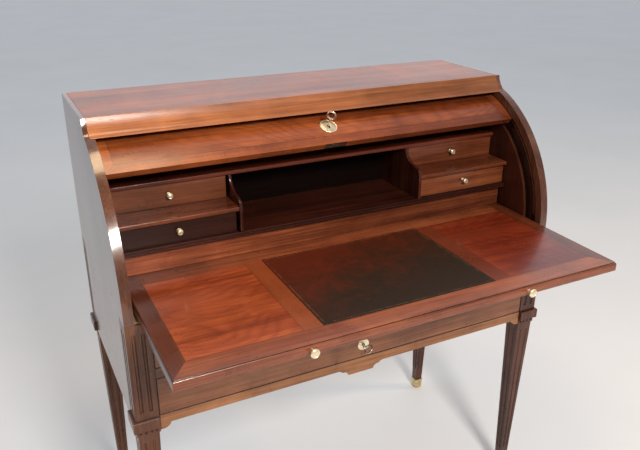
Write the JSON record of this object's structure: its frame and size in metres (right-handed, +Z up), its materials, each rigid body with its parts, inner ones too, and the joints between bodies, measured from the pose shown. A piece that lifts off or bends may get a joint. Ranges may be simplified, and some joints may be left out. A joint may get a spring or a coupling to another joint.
{
  "type": "cylinder desk",
  "caption": "Mahogany desk with a rigid roll-back cylinder, pull-out leather-lined slide, small interior drawers around a niche, frieze drawers, fluted tapered legs and brass feet.",
  "frame": {"origin": "bottom centre of the whole desk's bounding box, on the floor, with the slide pulled out", "axes": "+Z up, front and the pulled-out slide towards -Y, +X towards the desk's right end as seen from the front"},
  "size_m": [1.012, 0.7172, 1.0639],
  "materials": {
    "mahogany": "polished red-brown",
    "mahogany_dark": "polished dark red-brown",
    "mahogany_light": "polished, faded orange-brown",
    "oak_plain": "plain, unpolished",
    "leather": "worn dark brown",
    "brass": "polished, slightly dull",
    "iron": "dark, dull",
    "steel": "worn bright"
  },
  "bodies": {
    "case": {"side_left": "mahogany", "side_right": "mahogany", "top_board": "mahogany_light", "fascia": "mahogany", "back_panel": "oak_plain", "leg_front_left": "mahogany", "leg_front_right": "mahogany", "leg_rear_left": "mahogany", "leg_rear_right": "mahogany", "sabot_front_left": "brass", "sabot_front_right": "brass", "sabot_rear_left": "brass", "sabot_rear_right": "brass", "apron_rail": "mahogany_light", "divider_rail": "mahogany_dark", "slide_dustboard": "oak_plain", "drawer_runner_left": "oak_plain", "drawer_runner_right": "oak_plain", "lining_left": "mahogany_dark", "lining_right": "mahogany_dark", "gradin_base": "mahogany_light", "riser": "mahogany", "gradin_top": "mahogany_light", "gradin_divider_left": "mahogany_light", "gradin_divider_right": "mahogany_light", "step_shelf_left": "mahogany_light", "step_shelf_right": "mahogany_light", "gradin_back": "mahogany_dark"},
    "cylinder": {"cylinder_shell": "mahogany", "cylinder_lock": "iron", "cylinder_escutcheon": "brass", "cylinder_arm_left": "iron", "cylinder_arm_right": "iron"},
    "cylinder_bolt_body": {"cylinder_bolt": "steel"},
    "cylinder_key_body": {"cylinder_key": "steel"},
    "slide": {"slide_board": "mahogany", "slide_leather": "leather", "slide_knob_left": "brass", "slide_knob_right": "brass"},
    "upper_drawer": {"upper_drawer_front": "mahogany_dark", "upper_drawer_tray": "oak_plain", "upper_drawer_escutcheon": "brass"},
    "lower_drawer": {"lower_drawer_front": "mahogany", "lower_drawer_tray": "oak_plain", "lower_drawer_escutcheon": "brass", "lower_drawer_lock": "iron"},
    "lower_drawer_bolt_body": {"lower_drawer_bolt": "steel"},
    "lower_drawer_key_body": {"lower_drawer_key": "steel"},
    "small_upper_left": {"small_drawer_upper_left": "mahogany_dark", "small_knob_upper_left": "brass"},
    "small_upper_right": {"small_drawer_upper_right": "mahogany_dark", "small_knob_upper_right": "brass"},
    "small_lower_left": {"small_drawer_lower_left": "mahogany_dark", "small_knob_lower_left": "brass"},
    "small_lower_right": {"small_drawer_lower_right": "mahogany_dark", "small_knob_lower_right": "brass"}
  },
  "joints": [
    {"name": "cylinder_roll", "type": "hinge", "parent": "case", "child": "cylinder", "pos_m": [0, 0.2033, 0.7406], "axis": [-1, 0, 0], "range_deg": [-49.9, 0]},
    {"name": "slide_pull", "type": "slide", "parent": "case", "child": "slide", "axis": [0, -1, 0], "range_m": [-0.23, 0]},
    {"name": "upper_drawer_pull", "type": "slide", "parent": "case", "child": "upper_drawer", "axis": [0, -1, 0], "range_m": [0, 0.3]},
    {"name": "lower_drawer_pull", "type": "slide", "parent": "case", "child": "lower_drawer", "axis": [0, -1, 0], "range_m": [0, 0.3]},
    {"name": "cylinder_key_turn", "type": "hinge", "parent": "cylinder", "child": "cylinder_key_body", "pos_m": [0.004, 0.06901, 1.00079], "axis": [0, -0.4587, 0.8886], "range_deg": [0, 90]},
    {"name": "cylinder_bolt_throw", "type": "slide", "parent": "cylinder", "child": "cylinder_bolt_body", "axis": [0, -0.8886, -0.4587], "range_m": [0, 0.008]},
    {"name": "lower_drawer_key_turn", "type": "hinge", "parent": "lower_drawer", "child": "lower_drawer_key_body", "pos_m": [0.004, -0.1094, 0.551], "axis": [0, -1, 0], "range_deg": [0, 90]},
    {"name": "lower_drawer_bolt_throw", "type": "slide", "parent": "lower_drawer", "child": "lower_drawer_bolt_body", "axis": [0, 0, 1], "range_m": [0, 0.008]},
    {"name": "small_upper_left_pull", "type": "slide", "parent": "case", "child": "small_upper_left", "axis": [0, -1, 0], "range_m": [0, 0.07]},
    {"name": "small_upper_right_pull", "type": "slide", "parent": "case", "child": "small_upper_right", "axis": [0, -1, 0], "range_m": [0, 0.07]},
    {"name": "small_lower_left_pull", "type": "slide", "parent": "case", "child": "small_lower_left", "axis": [0, -1, 0], "range_m": [0, 0.11]},
    {"name": "small_lower_right_pull", "type": "slide", "parent": "case", "child": "small_lower_right", "axis": [0, -1, 0], "range_m": [0, 0.11]}
  ],
  "couplings": [
    {"joint": "cylinder_bolt_throw", "follows": "cylinder_key_turn", "m_per_rad": 0.005},
    {"joint": "lower_drawer_bolt_throw", "follows": "lower_drawer_key_turn", "m_per_rad": 0.005}
  ]
}
